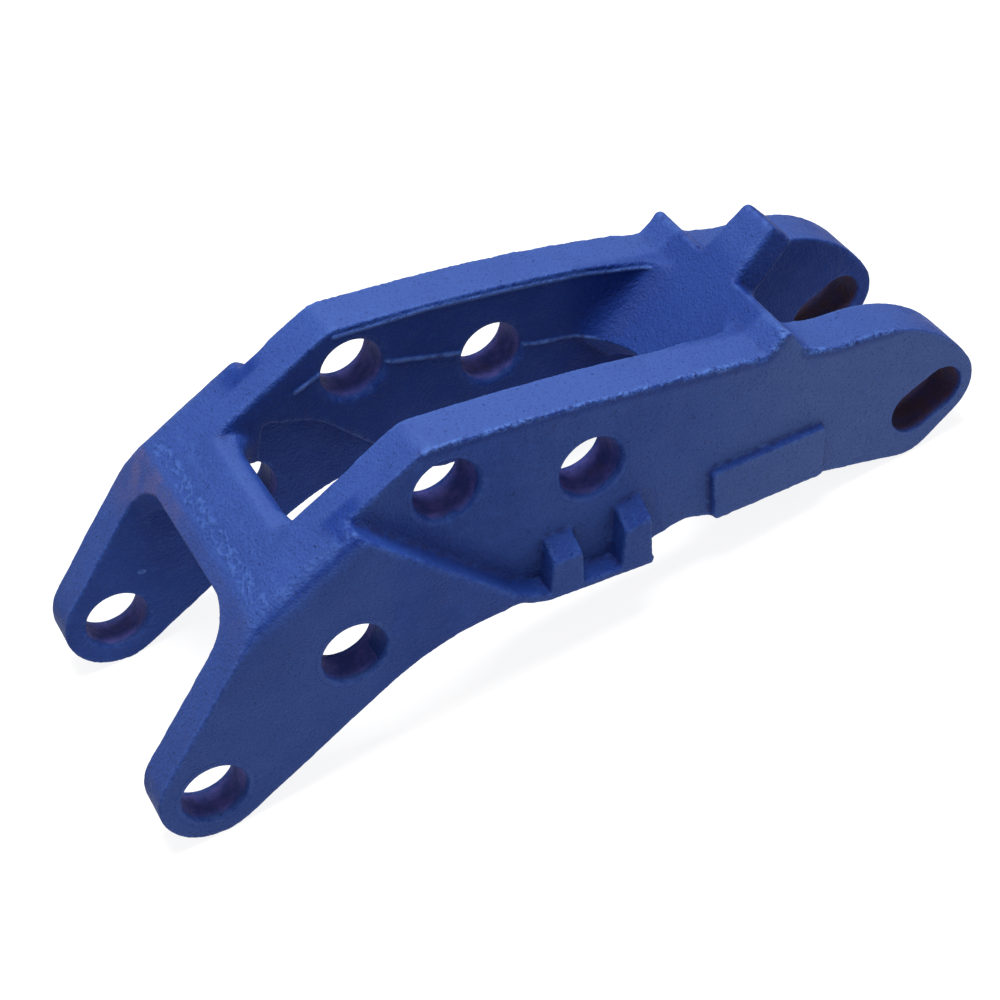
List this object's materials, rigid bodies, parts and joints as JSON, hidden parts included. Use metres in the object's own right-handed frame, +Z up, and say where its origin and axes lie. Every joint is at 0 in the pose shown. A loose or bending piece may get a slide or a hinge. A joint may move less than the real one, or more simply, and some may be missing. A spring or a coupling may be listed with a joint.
{
  "type": "quick coupler",
  "caption": "Cast quick coupler body: two cheeks tied by a sloping front plate and a horned inclined web, bushed pin bores in the front ears and cheeks, and slotted tail ears.",
  "frame": {"origin": "on the axis of the front cheek bore, at mid width", "axes": "+X from the front ears to the tail, +Y across the coupler along the bores, +Z up as the coupler stands on its ear tips and tail ears"},
  "size_m": [0.5493, 0.179, 0.1834],
  "materials": {
    "painted_casting": "semi-matt blue enamel over a rough sand casting",
    "bush_steel": "dull brown machined steel with blue overspray at the mouths"
  },
  "bodies": {
    "root": {"coupler_body": "painted_casting", "tip_bush_left": "bush_steel", "tip_bush_right": "bush_steel", "heel_bush_left": "bush_steel", "heel_bush_right": "bush_steel", "front_bush_left": "bush_steel", "front_bush_right": "bush_steel", "rear_bush_left": "bush_steel", "rear_bush_right": "bush_steel"}
  },
  "joints": []
}
